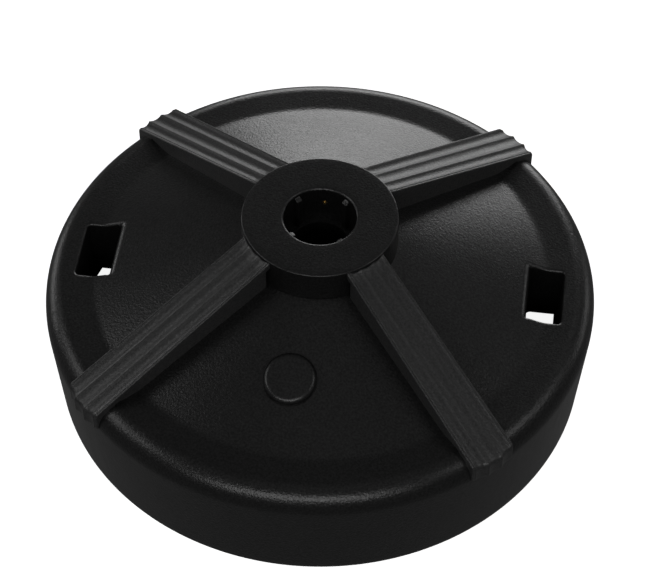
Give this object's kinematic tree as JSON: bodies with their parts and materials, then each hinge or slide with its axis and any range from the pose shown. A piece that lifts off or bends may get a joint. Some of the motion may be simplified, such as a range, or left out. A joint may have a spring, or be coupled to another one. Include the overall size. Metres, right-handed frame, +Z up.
{
  "type": "parasol base",
  "caption": "Round sand-filled base for a garden parasol, with a central pole socket, fluted arms from hub to rim, hand holes and a filling plug.",
  "frame": {"origin": "centre of the underside, on the surface that the feet rest on, on the pole's axis", "axes": "+Z up along the pole, +X to the right-hand hand hole, -Y to the filling plug"},
  "size_m": [0.4999, 0.4998, 0.189],
  "materials": {
    "shell_plastic": "fine moulded grain, semi-gloss black",
    "pan_plastic": "moulded black",
    "hub_plastic": "fine moulded grain, semi-gloss black",
    "arm_plastic": "fine moulded grain, semi-gloss black",
    "plug_plastic": "fine moulded grain, semi-gloss black",
    "inner_plastic": "moulded black",
    "sand": "dry builder's sand",
    "zinc_steel": "bright zinc plate",
    "brass": "turned",
    "foot_rubber": "matt black",
    "seal_rubber": "smooth black"
  },
  "bodies": {
    "base": {"top_shell": "shell_plastic", "bottom_pan": "pan_plastic", "ballast": "sand", "hub_collar": "hub_plastic", "collar_lock_ring": "inner_plastic", "pole_tube": "inner_plastic", "arm_front_right": "arm_plastic", "arm_front_left": "arm_plastic", "arm_rear_left": "arm_plastic", "arm_rear_right": "arm_plastic", "arm_screws": "zinc_steel", "fill_neck": "inner_plastic", "pan_screws": "zinc_steel", "rubber_feet": "foot_rubber", "screw_insert": "brass"},
    "plug": {"fill_plug": "plug_plastic", "plug_seal": "seal_rubber"},
    "pad": {"screw_pad": "brass"},
    "clamp_screw": {"set_screw": "zinc_steel"}
  },
  "joints": [
    {"name": "plug_lift", "type": "slide", "parent": "base", "child": "plug", "axis": [-0.0169, -0.3229, 0.9463], "range_m": [0, 0.04]},
    {"name": "pad_advance", "type": "slide", "parent": "base", "child": "pad", "axis": [0, -1, 0], "range_m": [0, 0.005]},
    {"name": "set_screw_turn", "type": "hinge", "parent": "pad", "child": "clamp_screw", "pos_m": [0, 0.05, 0.1715], "axis": [0, -1, 0], "range_deg": [0, 1800]}
  ],
  "couplings": [
    {"joint": "set_screw_turn", "follows": "pad_advance", "rad_per_m": 6283.2}
  ]
}
